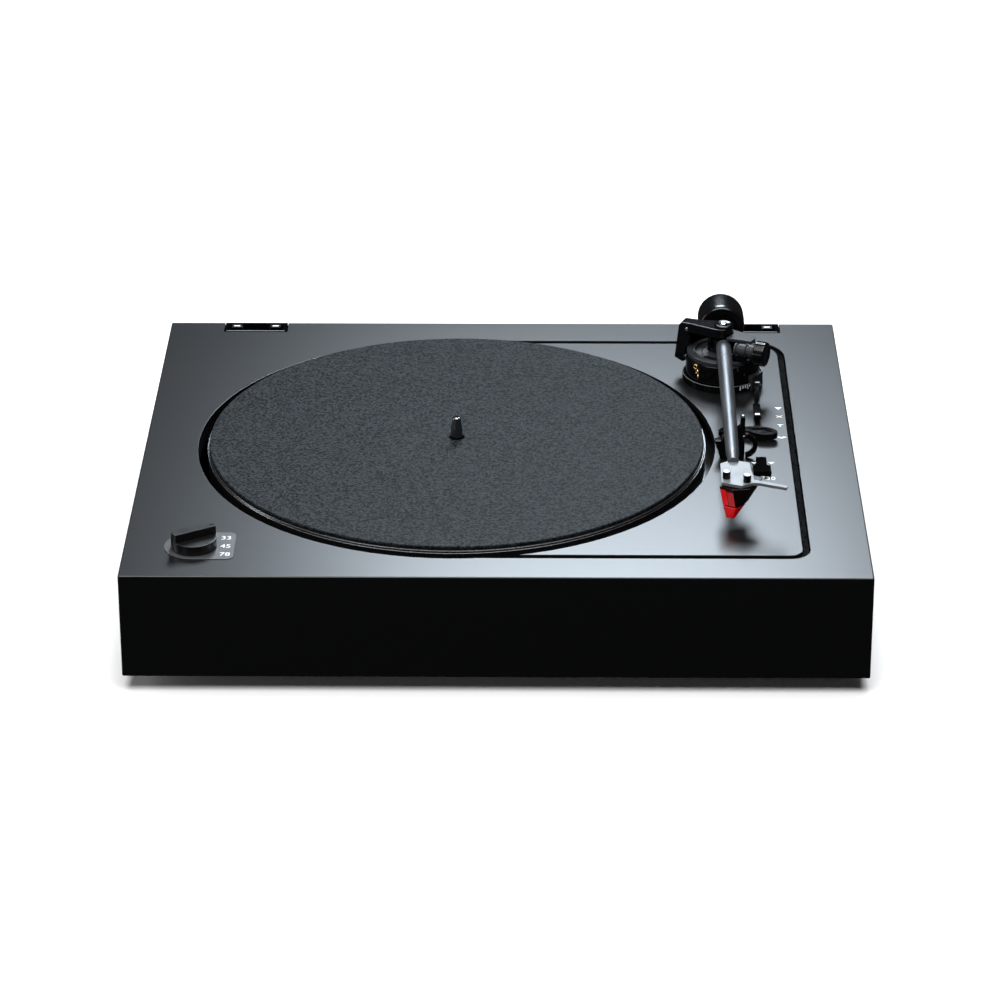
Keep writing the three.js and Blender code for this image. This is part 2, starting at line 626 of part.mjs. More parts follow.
// Cartridge and stylus are laid out in a frame whose Y runs along the headshell, origin at the screws.
const CART_Z = 22.4;
const SPLIT_Z = 12.6;

function cartridgeBody() {
  const wedge = tapered(
    [[-4, -11.5], [4, -12.5], [7, -6.5], [7.4, -1], [-6.2, -1]],
    [[-8, -7.4], [1, -9.5], [9.8, -4.5], [12, 13], [-8, 16]], SPLIT_Z, CART_Z,
  );
  const holes = [-6.35, 6.35].map((x) => cylinder(1.5, 16, 30, x, 0, 16));
  return cut(wedge, ...holes);
}

function stylusUnit() {
  return tapered(
    [[-1.9, -13], [3.3, -13], [3.2, -10], [3, -8.6], [-1.9, -8.6]],
    [[-4, -11.6], [4, -12.6], [6.8, -6.7], [7, -1.4], [-5.8, -1.4]], 5.6, SPLIT_Z - GAP,
  );
}

const armFrame = group(armBase, [0, 0, 0], ARM_TURN);
add(armFrame, 'pivot_block', pivotBlock(), 'blackPlastic');
add(armFrame, 'arm_tube', turned(tubeProfile, 20).rotateX(Math.PI / 2), 'tube', [0, 0, ARM_Z]);
const shellTrim = group(armBase, [0, 0, 0]);
add(shellTrim, 'headshell', headshell(), 'silver');
const screwMid = [(SCREWS[0][0] + SCREWS[1][0]) / 2, (SCREWS[0][1] + SCREWS[1][1]) / 2];
const screwTurn = THREE.MathUtils.radToDeg(
  Math.atan2(SCREWS[1][1] - SCREWS[0][1], SCREWS[1][0] - SCREWS[0][0]),
);
const cartridgeFrame = group(shellTrim, [...screwMid, 0], screwTurn);
const screwProfile = [[0, 18.5], [1.2, 18.5], [1.2, 24.8], [2.3, 24.8], [2.3, 28.6], [1.9, 29], [0, 29]];
[['left', -6.35], ['right', 6.35]].forEach(([name, x]) => {
  add(cartridgeFrame, `headshell_screw_${name}`, turned(screwProfile, 12), 'chrome', [x, 0, 0]);
});
add(cartridgeFrame, 'cartridge_body', cartridgeBody(), 'darkPlastic');
add(cartridgeFrame, 'stylus_unit', stylusUnit(), 'red');

function counterweight() {
  const [y0, y1] = WEIGHT_Y;
  const profile = [
    [0, y0], [WEIGHT_R - 1, y0], [WEIGHT_R, y0 + 1], [WEIGHT_R, y1 - 1.6], [WEIGHT_R - 1.6, y1], [0, y1],
  ];
  const body = alongBack(turned(profile, 32)).translate(0, 0, ARM_Z - WEIGHT_DROP);
  const bore = alongBack(cylinder(3.8, y0 - 1, y0 + 22, 0, 0, 16)).translate(0, 0, ARM_Z);
  return cut(body, bore);
}
add(armFrame, 'counterweight', counterweight(), 'blackPlastic');

// ---------------------------------------------------------------- lift, rest and controls on the board
function liftArc() {
  const band = extruded(arcBand(LIFT_R - 1.5, LIFT_R + 1.5, -140, -86), 18.2, 19.3, 16);
  const x = LIFT_R * Math.cos(THREE.MathUtils.degToRad(LIFT_MID));
  const y = LIFT_R * Math.sin(THREE.MathUtils.degToRad(LIFT_MID));
  return join(band, cylinder(1.4, 2, 18.6, x, y, 16));
}
add(armBase, 'lift_arc', liftArc(), 'blackPlastic');

function liftLever() {
  const root = box(-1.7, 1.9, -4, 0.6, -1.5, 3);
  const strip = extruded(polygon([[-1.5, -3], [1.5, -3], [-0.6, -32], [-3.2, -32]]), 0.4, 2.2);
  const cap = extruded(polygon([[-4.1, -31.5], [0.4, -31.5], [0.4, -48], [-4.1, -48]]), -0.6, 2.4);
  const pin = alongRight(cylinder(1, -1.9, 2.6, 0, 0, 16));
  return join(root, strip, cap, pin);
}

function startLever() {
  const blade = new THREE.Shape();
  blade.moveTo(9, -1.6);
  blade.bezierCurveTo(14, -3, 18, -8.5, 24, -9);
  blade.bezierCurveTo(29, -9.2, 32, -7.5, 31.6, -4.6);
  blade.bezierCurveTo(31, -1, 27, 2.2, 22, 3);
  blade.bezierCurveTo(17, 3.6, 13, 2.6, 9, 2);
  const bar = box(-4.2, 12, -1.5, 1.5, 1.2, 4);
  return join(extruded(blade, 2, 5.6, 8), bar, cylinder(3.4, 0.4, 4.6, 0, 0, 16));
}

function sizeSelector() {
  const narrow = box(-3.1, 3.1, -1, 10.5, 0.4, 3);
  const wide = box(-5.2, 5.2, -10.5, -0.7, 0.4, 3);
  const stem = box(-1.5, 1.5, -1.5, 1.5, -6, 1);
  return join(narrow, wide, stem);
}

function armRest() {
  const outline = polygon([
    [-6, 0.1], [-9.6, 11.4], [-9.6, 12.2], [-5.8, 12.2], [-4.2, 15.6], [-4.2, 19.4], [3.2, 19.4],
    [5.6, 21.5], [5.6, 27.2], [6.4, 28.1], [7.8, 28.1], [8.4, 27.3], [8.4, 18.3],
    [7.3, 17.5], [7.3, 12.3], [8.4, 11.5], [8.4, 0.1],
  ]);
  return extruded(outline, -2.5, 2.5).rotateX(Math.PI / 2).translate(PIVOT[0], REST_Y, 0);
}

function armLatch() {
  const loop = extruded(arcBand(5.2, 8, -84, 84), -1.5, 1.5, 16).rotateX(Math.PI / 2);
  const root = box(0.4, 2.6, -1.5, 1.5, 5, 8);
  return join(loop, root);
}

add(model, 'lift_lever', liftLever(), 'blackPlastic', [LEVER_AXIS[0], LEVER_AXIS[1], DECK + LEVER_AXIS[2]]);
add(model, 'start_lever', startLever(), 'blackPlastic', [...START_AT, DECK]);
add(model, 'size_selector', sizeSelector(), 'blackPlastic', [...SELECTOR_AT, DECK]);
add(model, 'arm_rest', armRest(), 'blackPlastic', [0, 0, DECK]);
add(model, 'arm_latch', armLatch(), 'blackPlastic', [LATCH_X, REST_Y, DECK + 8.4]);

export default model;
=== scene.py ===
"""A belt-driven automatic record player on a pale floor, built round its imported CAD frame."""

import json
import math

import bmesh
import bpy
from mathutils import Matrix, Vector

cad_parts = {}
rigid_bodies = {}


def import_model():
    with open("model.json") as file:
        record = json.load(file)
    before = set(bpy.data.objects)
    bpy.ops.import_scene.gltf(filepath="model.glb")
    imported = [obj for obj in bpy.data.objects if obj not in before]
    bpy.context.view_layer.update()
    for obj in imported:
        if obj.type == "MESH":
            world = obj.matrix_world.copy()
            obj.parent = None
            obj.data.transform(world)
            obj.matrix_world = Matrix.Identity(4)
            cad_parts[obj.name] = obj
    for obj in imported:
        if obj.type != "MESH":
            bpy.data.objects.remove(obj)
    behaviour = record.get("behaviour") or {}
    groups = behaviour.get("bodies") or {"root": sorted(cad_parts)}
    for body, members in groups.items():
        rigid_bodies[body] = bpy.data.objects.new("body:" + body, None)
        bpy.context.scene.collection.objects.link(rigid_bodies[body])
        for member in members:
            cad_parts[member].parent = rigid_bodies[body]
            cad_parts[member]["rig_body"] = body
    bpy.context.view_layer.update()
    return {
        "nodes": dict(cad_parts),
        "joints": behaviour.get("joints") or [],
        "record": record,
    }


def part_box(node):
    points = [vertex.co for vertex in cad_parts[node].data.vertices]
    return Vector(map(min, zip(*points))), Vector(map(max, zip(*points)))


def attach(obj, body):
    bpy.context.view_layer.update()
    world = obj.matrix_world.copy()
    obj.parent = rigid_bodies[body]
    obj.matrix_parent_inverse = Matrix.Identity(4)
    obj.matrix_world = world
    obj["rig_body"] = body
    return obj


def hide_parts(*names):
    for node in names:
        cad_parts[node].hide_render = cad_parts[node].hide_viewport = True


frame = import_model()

MM = 0.001
SCENE = bpy.context.scene
WHOLE = 2 * math.pi

# ------------------------------------------------------------------ places taken from the frame
JOINTS = {joint["name"]: joint for joint in frame["joints"]}
BODY_OF = {name: thing["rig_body"] for name, thing in frame["nodes"].items()}
SLOT_OF = {row["node"]: row["material_slot"] for row in frame["record"]["subparts"]}


def reach(node):
    low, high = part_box(node)
    return low / MM, high / MM


def middle(node):
    low, high = reach(node)
    return (low + high) / 2


def joint_place(name):
    """A joint's place as a matrix, in millimetres and not turned."""
    return Matrix.Translation(Vector(JOINTS[name]["pos_m"]) / MM)


def turned(degrees, axis="Z"):
    return Matrix.Rotation(math.radians(degrees), 4, axis)


DECK = reach("plinth_shell")[1].z
FOOT_H = reach("plinth_shell")[0].z
HUB = middle("platter")
PIVOT = middle("arm_drum")
GIMBAL_TURN = -22
ARM_TURN = -0.4
KNOB_TURN = 31
ARM_Z = 24.5
WEIGHT_DROP = 3.1
CARTRIDGE_AT = (-0.2, -200.55, 0)
CARTRIDGE_TURN = -21.72

AT_HUB = Matrix.Translation((HUB.x, HUB.y, 0))
AT_PIVOT = Matrix.Translation((PIVOT.x, PIVOT.y, DECK))
AT_GIMBAL = AT_PIVOT @ turned(GIMBAL_TURN)
AT_ARM = AT_PIVOT @ turned(ARM_TURN)
AT_KNOB = joint_place("knob_turn") @ turned(KNOB_TURN)
AT_DECK = Matrix.Translation((0, 0, DECK))
AT_CARTRIDGE = AT_PIVOT @ Matrix.Translation(CARTRIDGE_AT) @ turned(CARTRIDGE_TURN)
AT_LEVER = joint_place("lever_turn")
BACKWARD = turned(-90, "X")
FORWARD = turned(90, "X")
RIGHTWARD = turned(90, "Y")

# driving sizes of the pieces that are turned or knurled here, in millimetres
MAT_R = 150
MAT_BOTTOM = DECK + 2.3
MAT_TOP = DECK + 4
PLATTER_R = 151
SPINDLE_R = 3.6
SPINDLE_TOP = DECK + 17
KNOB_R = 13.3
DRUM_R = 23.2
DRUM_TOP = 16.8
BORE_R = 4.3
PLATE_R = 22.6
PLATE_STEP_R = 17.6
PLATE_FLOOR = 17.9
PLATE_RIM = 19.5
LIFT_HOLE_R = 1.8
RING_R = 25.25
YOKE_TOP = 35.5
DIAL_R = 7.75
TUBE_R = 4.7
TUBE_END = 176.4

# ------------------------------------------------------------------ materials


class Finish:
    """One node material round a Principled shader, with its grain in the object's own coordinates."""

    def __init__(self, name, color, rough, metal=0.0, **sockets):
        self.material = bpy.data.materials.new(name)
        self.material.use_nodes = True
        self.tree = self.material.node_tree
        self.shader = self.tree.nodes["Principled BSDF"]
        self.color = color
        self.set("Base Color", (*color, 1))
        self.set("Roughness", rough)
        self.set("Metallic", metal)
        for socket, value in sockets.items():
            self.set(socket.replace("_", " "), value)
        self.place = self.node("ShaderNodeTexCoord").outputs["Object"]

    def set(self, socket, value):
        self.shader.inputs[socket].default_value = value

    def node(self, kind, **values):
        made = self.tree.nodes.new(kind)
        for key, value in values.items():
            made.inputs[key].default_value = value
        return made

    def link(self, a, b):
        self.tree.links.new(a, b)

    def noise(self, scale, detail=3, stretch=(1, 1, 1), rough=0.55):
        mapping = self.node("ShaderNodeMapping", Scale=stretch)
        self.link(self.place, mapping.inputs["Vector"])
        made = self.node("ShaderNodeTexNoise", Scale=scale, Detail=detail, Roughness=rough)
        self.link(mapping.outputs["Vector"], made.inputs["Vector"])
        return made.outputs["Fac"]

    def vary_color(self, value, dark, light, source=(0.3, 0.7)):
        ramp = self.node("ShaderNodeValToRGB")
        for element, at, gain in zip(ramp.color_ramp.elements, source, (dark, light)):
            element.position = at
            element.color = (*[min(channel * gain, 1) for channel in self.color], 1)
        self.link(value, ramp.inputs["Fac"])
        self.link(ramp.outputs["Color"], self.shader.inputs["Base Color"])
        return self

    def vary_rough(self, value, low, high):
        made = self.node("ShaderNodeMapRange")
        for key, number in zip(("From Min", "From Max", "To Min", "To Max"), (0.3, 0.7, low, high)):
            made.inputs[key].default_value = number
        self.link(value, made.inputs["Value"])
        self.link(made.outputs["Result"], self.shader.inputs["Roughness"])
        return self

    def bump(self, value, strength, depth_mm):
        made = self.node("ShaderNodeBump", Strength=strength, Distance=depth_mm * MM)
        self.link(value, made.inputs["Height"])
        previous = self.shader.inputs["Normal"].links
        if previous:
            self.link(previous[0].from_socket, made.inputs["Normal"])
        self.link(made.outputs["Normal"], self.shader.inputs["Normal"])
        return self


def moulded(name, color, rough, metal=0.0, grain=900, depth=0.02, spread=0.12, gloss=0.1, **sockets):
    """A moulded, painted or plated skin: cloudy colour, uneven gloss and fine grain."""
    made = Finish(name, color, rough, metal, **sockets)
    made.vary_color(made.noise(60), 1 - spread, 1 + spread)
    made.vary_rough(made.noise(170), rough * (1 - gloss), rough * (1 + gloss))
    return made.bump(made.noise(grain), 0.25, depth)


def brushed(name, color, rough, metal, stretch, **sockets):
    """Metal drawn or turned one way: streaks in colour, gloss and height."""
    made = Finish(name, color, rough, metal, **sockets)
    lines = made.noise(700, 4, stretch)
    made.vary_color(lines, 0.9, 1.1)
    made.vary_rough(lines, rough * 0.8, rough * 1.25)
    return made.bump(lines, 0.25, 0.02)


def felted(name, color, flecks, depth, **sockets):
    """Pressed fibres: flecked colour over a soft, uneven surface."""
    made = Finish(name, color, 0.5, **sockets)
    made.vary_color(made.noise(620, 2, rough=0.6), *flecks, (0.35, 0.65))
    made.bump(made.noise(620, 2, rough=0.6), 0.8, depth)
    return made.bump(made.noise(260), 0.35, depth * 0.6)


FINISHES = {
    "plinth": moulded(
        "plinth", (0.0036, 0.0039, 0.0043), 0.33, grain=1500, depth=0.01, spread=0.05, gloss=0.01),
    "board": moulded(
        "board", (0.0042, 0.0045, 0.0049), 0.33, grain=1700, depth=0.01, spread=0.05, gloss=0.01),
    "label": moulded("label", (0.045, 0.048, 0.051), 0.32, grain=1500, depth=0.01, Specular_IOR_Level=0.9),
    "felt": felted("felt", (0.0115, 0.0135, 0.015), (0.15, 2.7), 0.5, Specular_IOR_Level=0.04),
    "foam": felted("foam", (0.003, 0.0033, 0.0036), (0.2, 4.0), 0.6, Specular_IOR_Level=0.0),
    "black_plastic": moulded("black_plastic", (0.0035, 0.0035, 0.004), 0.28, Specular_IOR_Level=0.3),
    "matte_black": moulded("matte_black", (0.002, 0.002, 0.0025), 0.25, depth=0.01, Specular_IOR_Level=0.0),
    "gloss_black": moulded(
        "gloss_black", (0.0025, 0.0025, 0.003), 0.12, depth=0.003, Specular_IOR_Level=0.35),
    "knob_black": moulded("knob_black", (0.004, 0.004, 0.0045), 0.30, grain=1400, depth=0.01),
    "weight_black": moulded("weight_black", (0.003, 0.003, 0.0035), 0.2, depth=0.004),
    "platter_black": brushed("platter_black", (0.006, 0.006, 0.0065), 0.3, 0.0, (1, 1, 0.1)),
    "rubber": moulded("rubber", (0.010, 0.010, 0.010), 0.75, grain=1600, depth=0.05),
    "steel": brushed("steel", (0.42, 0.43, 0.45), 0.35, 1.0, (1, 0.05, 1)),
    "chrome": moulded("chrome", (0.80, 0.81, 0.83), 0.12, 1.0, depth=0.002, spread=0.02),
    "dark_chrome": moulded("dark_chrome", (0.22, 0.22, 0.23), 0.08, 1.0, depth=0.002, spread=0.02),
    "aluminium": brushed("aluminium", (0.50, 0.52, 0.54), 0.32, 1.0, (1, 1, 0.06)),
    "brass": moulded("brass", (0.80, 0.56, 0.25), 0.22, 1.0, depth=0.003, spread=0.05),
    "tube_grey": brushed("tube_grey", (0.15, 0.158, 0.17), 0.42, 0.85, (1, 0.04, 1)),
    "silver": moulded("silver", (0.15, 0.163, 0.175), 0.42, 0.0, grain=2200, depth=0.01, spread=0.05),
    "dark_metal": moulded(
        "dark_metal", (0.026, 0.028, 0.031), 0.36, grain=2200, depth=0.01, Specular_IOR_Level=0.15),
    "cartridge_dark": moulded(
        "cartridge_dark", (0.004, 0.0006, 0.001), 0.22, depth=0.006, Specular_IOR_Level=0.15),
    "cartridge_red": moulded(
        "cartridge_red", (0.40, 0.002, 0.006), 0.25, depth=0.006, Specular_IOR_Level=0.3),
    "stylus_red": moulded("stylus_red", (0.66, 0.003, 0.006), 0.2, depth=0.008, Specular_IOR_Level=0.3),
    "circuit": moulded("circuit", (0.01, 0.05, 0.025), 0.45, spread=0.3),
    "print": moulded("print", (0.80, 0.82, 0.85), 0.5, grain=2000, depth=0.004, spread=0.04),
}


def dress(thing, finish):
    """Gives every material slot of an object the finish, adding one where it has none."""
    if not thing.material_slots:
        thing.data.materials.append(None)
    for place in thing.material_slots:
        place.material = FINISHES[finish].material


for name, thing in frame["nodes"].items():
    dress(thing, SLOT_OF[name])

# ------------------------------------------------------------------ outlines and meshes, in millimetres

FLAT_WITHIN_DEG = 1.5
SHARP_FROM_DEG = 44
FONT_SIZE_PER_HEIGHT = 1.38
INK_MM = 0.025


def rounded(points, radius, steps=4):
    """A closed outline with its corners rounded. A corner may carry its own radius as a third number."""
    outline = []
    count = len(points)
    for i, point in enumerate(points):
        own = point[2] if len(point) > 2 else radius
        here, before, after = (Vector(points[k % count][:2]) for k in (i, i - 1, i + 1))
        back, ahead = before - here, after - here
        trim = min(own, 0.45 * back.length, 0.45 * ahead.length)
        if trim < 1e-3:
            outline.append(here)
            continue
        a, b = here + back.normalized() * trim, here + ahead.normalized() * trim
        for k in range(steps + 1):
            t = k / steps
            outline.append(a * (1 - t) ** 2 + here * 2 * t * (1 - t) + b * t * t)
    return outline


def mesh_piece(name, build, finish, matrix=Matrix.Identity(4)):
    """A new mesh object from bmesh code that works in millimetres."""
    shape = bmesh.new()
    build(shape)
    bmesh.ops.remove_doubles(shape, verts=shape.verts, dist=1e-4)
    bmesh.ops.recalc_face_normals(shape, faces=shape.faces)
    shape.transform(Matrix.Scale(MM, 4) @ matrix)
    data = bpy.data.meshes.new(name)
    shape.to_mesh(data)
    shape.free()
    thing = bpy.data.objects.new(name, data)
    SCENE.collection.objects.link(thing)
    dress(thing, finish)
    return thing


def lathe(name, profile, finish, matrix=Matrix.Identity(4), sides=96):
    """Turns a closed profile of (radius, height) about Z. It may start and end on the axis."""
    def build(shape):
        rings = []
        for r, z in profile:
            turn = range(sides) if r > 1e-6 else range(1)
            angles = [WHOLE * k / sides for k in turn]
            rings.append([shape.verts.new((r * math.cos(a), r * math.sin(a), z)) for a in angles])
        on_axis = profile[0][0] <= 1e-6 and profile[-1][0] <= 1e-6
        pairs = list(zip(rings, rings[1:])) + ([] if on_axis else [(rings[-1], rings[0])])
        for low, high in pairs:
            for k in range(sides):
                n = (k + 1) % sides
                corners = [low[k % len(low)], low[n % len(low)], high[n % len(high)], high[k % len(high)]]
                unique = list(dict.fromkeys(corners))
                if len(unique) > 2:
                    shape.faces.new(unique)
    return mesh_piece(name, build, finish, matrix)


def prism(name, outline, z0, z1, finish, matrix=Matrix.Identity(4)):
    """Raises a closed outline from z0 to z1."""
    def build(shape):
        low = [shape.verts.new((p[0], p[1], z0)) for p in outline]
        high = [shape.verts.new((p[0], p[1], z1)) for p in outline]
        shape.faces.new(low)
        shape.faces.new(high)
        for k in range(len(outline)):
            n = (k + 1) % len(outline)
            shape.faces.new((low[k], low[n], high[n], high[k]))
    return mesh_piece(name, build, finish, matrix)


def block(name, low, high, finish, matrix=Matrix.Identity(4)):
    (x0, y0, z0), (x1, y1, z1) = low, high
    return prism(name, [(x0, y0), (x1, y0), (x1, y1), (x0, y1)], z0, z1, finish, matrix)


def panel(name, corners, across, upward, finish, matrix, sunk=0.3, proud=0.12, steps=10):
    """A thin plate on a creased face. The corners run round from the bottom left.

    The spans across and upward are shares of the face's sides.
    """
    a, b, c, d = (Vector(corner) for corner in corners)
    out = (b - a).cross(d - a).normalized()

    def on_face(i, j):
        u = across[0] + (across[1] - across[0]) * i / steps
        v = upward[0] + (upward[1] - upward[0]) * j / steps
        return a + (b - a) * (u - v) + (c - a) * v if u > v else a + (c - a) * u + (d - a) * (v - u)

    def build(shape):
        count = range(steps + 1)
        sheets = [[[shape.verts.new(on_face(i, j) + out * lift) for j in count] for i in count]
                  for lift in (-sunk, proud)]
        for i in range(steps):
            for sheet in sheets:
                for j in range(steps):
                    shape.faces.new((sheet[i][j], sheet[i + 1][j], sheet[i + 1][j + 1], sheet[i][j + 1]))
            for j in (0, steps):
                shape.faces.new((sheets[0][i][j], sheets[0][i + 1][j], sheets[1][i + 1][j], sheets[1][i][j]))
                shape.faces.new((sheets[0][j][i], sheets[0][j][i + 1], sheets[1][j][i + 1], sheets[1][j][i]))
    return mesh_piece(name, build, finish, matrix)


def refined(node, finish=None):
    """A copy of a CAD node's mesh with its flat faces made whole, ready for soft edges."""
    thing = bpy.data.objects.new(f"{node}_shape", frame["nodes"][node].data.copy())
    SCENE.collection.objects.link(thing)
    shape = bmesh.new()
    shape.from_mesh(thing.data)
    bmesh.ops.remove_doubles(shape, verts=shape.verts, dist=1e-6)
    bmesh.ops.dissolve_limit(
        shape, angle_limit=math.radians(FLAT_WITHIN_DEG), verts=shape.verts, edges=shape.edges)
    shape.to_mesh(thing.data)
    shape.free()
    dress(thing, finish or SLOT_OF[node])
    return thing


def apply_modifiers(thing):
    bpy.context.view_layer.update()
    settled = thing.evaluated_get(bpy.context.evaluated_depsgraph_get())
    data = bpy.data.meshes.new_from_object(settled)
    thing.modifiers.clear()
    thing.data = data


def carve(thing, *cutters):
    """Takes the cutters away from a piece and removes them."""
    for cutter in cutters:
        change = thing.modifiers.new("cut", "BOOLEAN")
        change.object = cutter
        change.solver = "EXACT"
    apply_modifiers(thing)
    for cutter in cutters:
        bpy.data.objects.remove(cutter)
    return thing


def drilled(thing, radius, z0, z1, finish, matrix, sides):
    """Drills a round hole from z0 to z1 through a piece."""
    hole = [(0, z0), (radius, z0), (radius, z1), (0, z1)]
    return carve(thing, lathe("hole", hole, finish, matrix, sides))


def merge(thing, *others):
    """Adds other pieces' meshes to a piece, as they stand."""
    shape = bmesh.new()
    shape.from_mesh(thing.data)
    for other in others:
        shape.from_mesh(other.data)
        bpy.data.objects.remove(other)
    shape.to_mesh(thing.data)
    shape.free()
    return thing


def soften(thing, width_mm, segments=3, angle=32):
    """Small rounded edges wherever two faces meet at more than the angle."""
    if width_mm:
        edge = thing.modifiers.new("edge", "BEVEL")
        edge.width = width_mm * MM
        edge.segments = segments
        edge.limit_method = "ANGLE"
        edge.angle_limit = math.radians(angle)
        edge.miter_outer = "MITER_ARC"
        apply_modifiers(thing)
    for face in thing.data.polygons:
        face.use_smooth = True
    thing.data.set_sharp_from_angle(angle=math.radians(SHARP_FROM_DEG))
    normals = thing.modifiers.new("normals", "WEIGHTED_NORMAL")
    normals.keep_sharp = True
    apply_modifiers(thing)
    return thing


def mount(thing, body, slot, *nodes, edge=0.0, **options):
    """Finishes a piece: soft edges, the body it rides on, and the nodes it stands for. The slot is not used.
    """
    soften(thing, edge, **options)
    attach(thing, body)
    if nodes:
        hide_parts(*nodes)
    return thing


def stand_in(node, finish=None, edge=0.3, **options):
    """The finished version of one CAD node, on the same body, dressed in its slot's finish unless another is
    given.
    """
    return mount(refined(node, finish), BODY_OF[node], SLOT_OF[node], node, edge=edge, **options)


def toothed(root, tip, teeth):
    """A knurl outline: each tooth is a small trapezium."""
    steps = ((0, root), (0.4, root), (0.55, tip), (0.85, tip))
    turns = [((i + part) / teeth * WHOLE, r) for i in range(teeth) for part, r in steps]
    return [(r * math.cos(a), r * math.sin(a)) for a, r in turns]


def lettering(name, text, height_mm, place):
    """A raised generic number or mark in white ink."""
    data = bpy.data.curves.new(name, "FONT")
    data.body = text
    data.size = height_mm * MM * FONT_SIZE_PER_HEIGHT
    data.extrude = INK_MM * MM
    data.align_x = "CENTER"
    data.align_y = "CENTER"
    drawn = bpy.data.objects.new(name, data)
    SCENE.collection.objects.link(drawn)
    drawn.matrix_world = Matrix.Translation(Vector(place) * MM)
    bpy.context.view_layer.update()
    settled = drawn.evaluated_get(bpy.context.evaluated_depsgraph_get())
    made = bpy.data.objects.new(name, bpy.data.meshes.new_from_object(settled))
    made.data.transform(drawn.matrix_world)
    SCENE.collection.objects.link(made)
    bpy.data.objects.remove(drawn)
    dress(made, "print")
    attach(made, "base")
    return made


# ------------------------------------------------------------------ plinth, board and feet


def build_plinth():
    stand_in("plinth_shell", edge=0.4)
    stand_in("arm_board", edge=0.35)
    stand_in("groove_seal", edge=0.6)
    stand_in("bottom_cover", edge=0.3)
    foot = rounded([(0, 0, 0), (20, 0), (22, 1.4), (24, 6), (24, FOOT_H), (0, FOOT_H, 0)], 0.8)
    for number in (1, 2, 3, 4):
        node = f"foot_{number}"
        place = Matrix.Translation((middle(node).x, middle(node).y, 0))
        mount(lathe(f"{node}_shape", foot, "rubber", place), "base", "rubber", node)
    for side in ("left", "right"):
        build_hinge_socket(side)


def build_hinge_socket(side):
    """A socket let into the back edge, with a bright bead in front and two windows with a pale contact."""
    node = f"hinge_socket_{side}"
    stand_in(node, "matte_black", edge=0.5)
    low, high = reach(node)
    center = middle(node)
    left, right = low.x + 1.4, high.x - 1.4
    front, back = low.y + 0.7, low.y + 1.5
    bead = rounded([(left, front), (right, front), (right, back), (left, back)], 0.38)
    strip = prism(f"hinge_bead_{side}", bead, high.z - 0.3, high.z + 0.12, "silver")
    mount(strip, "base", "silver", edge=0.1)
    for offset, end in ((-12.5, "out"), (12.5, "in")):
        spot = Matrix.Translation((center.x + offset, center.y + 1.6, high.z))
        window_name = f"hinge_window_{side}_{end}"
        window = block(window_name, (-3.4, -2.2, -0.3), (3.4, 2.2, 0.1), "black_plastic", spot)
        mount(window, "base", "black_plastic", edge=0.15)
        contact = block(f"hinge_contact_{side}_{end}", (-2.0, -0.7, 0.05), (2.0, 0.7, 0.16), "print", spot)
        mount(contact, "base", "silver", edge=0.03)


# ------------------------------------------------------------------ platter, mat and spindle


def build_platter():
    hole_r, top = SPINDLE_R + 0.3, DECK + 2
    bottom, web, hub_bottom = reach("platter")[0].z, DECK - 2.5, DECK - 4.7
    dish = rounded([
        (hole_r, hub_bottom), (66, hub_bottom), (66, web), (140, web), (143, bottom),
        (PLATTER_R, bottom, 0.6), (PLATTER_R, DECK, 0.2), (150.3, DECK + 1.3, 0.2), (148.8, top, 0.2),
        (hole_r, top),
    ], 0.3)
    mount(lathe("platter_shape", dish, "platter_black", AT_HUB, 256), "platter", "aluminium", "platter")
    for name, r, z in (("outer", 150.95, DECK + 0.05), ("inner", 150.3, DECK + 1.3)):
        trim = rounded([(r, z - 0.2), (r + 0.28, z - 0.2), (r + 0.28, z + 0.1), (r, z + 0.1)], 0.08)
        mount(lathe(f"platter_trim_{name}", trim, "aluminium", AT_HUB, 256), "platter", "aluminium")
    mat_hole_r = SPINDLE_R + 1
    felt_profile = [(mat_hole_r, MAT_BOTTOM, 0.3)]
    felt_profile += [(r, MAT_BOTTOM, 0) for r in (40, 80, 120)]
    felt_profile += [(MAT_R, MAT_BOTTOM, 0.3), (MAT_R, MAT_TOP, 0.8)]
    felt_profile += [(r, MAT_TOP, 0) for r in (120, 80, 40)]
    felt_profile += [(mat_hole_r, MAT_TOP, 0.6)]
    mat = lathe("slip_mat_felt", rounded(felt_profile, 0.5), "felt", AT_HUB, 256)
    mount(mat, "platter", "felt", "slip_mat")
    foot = reach("spindle")[0].z
    outline = rounded([
        (0, foot, 0), (SPINDLE_R, foot), (SPINDLE_R, SPINDLE_TOP - 8, 2.0), (2.4, SPINDLE_TOP - 0.5, 0.6),
        (1.9, SPINDLE_TOP, 0.2), (0, SPINDLE_TOP, 0),
    ], 0.4)
    spindle = lathe("spindle_shape", outline, "dark_chrome", AT_HUB, 64)
    mount(spindle, "platter", "chrome", "spindle")


# ------------------------------------------------------------------ speed knob and its label


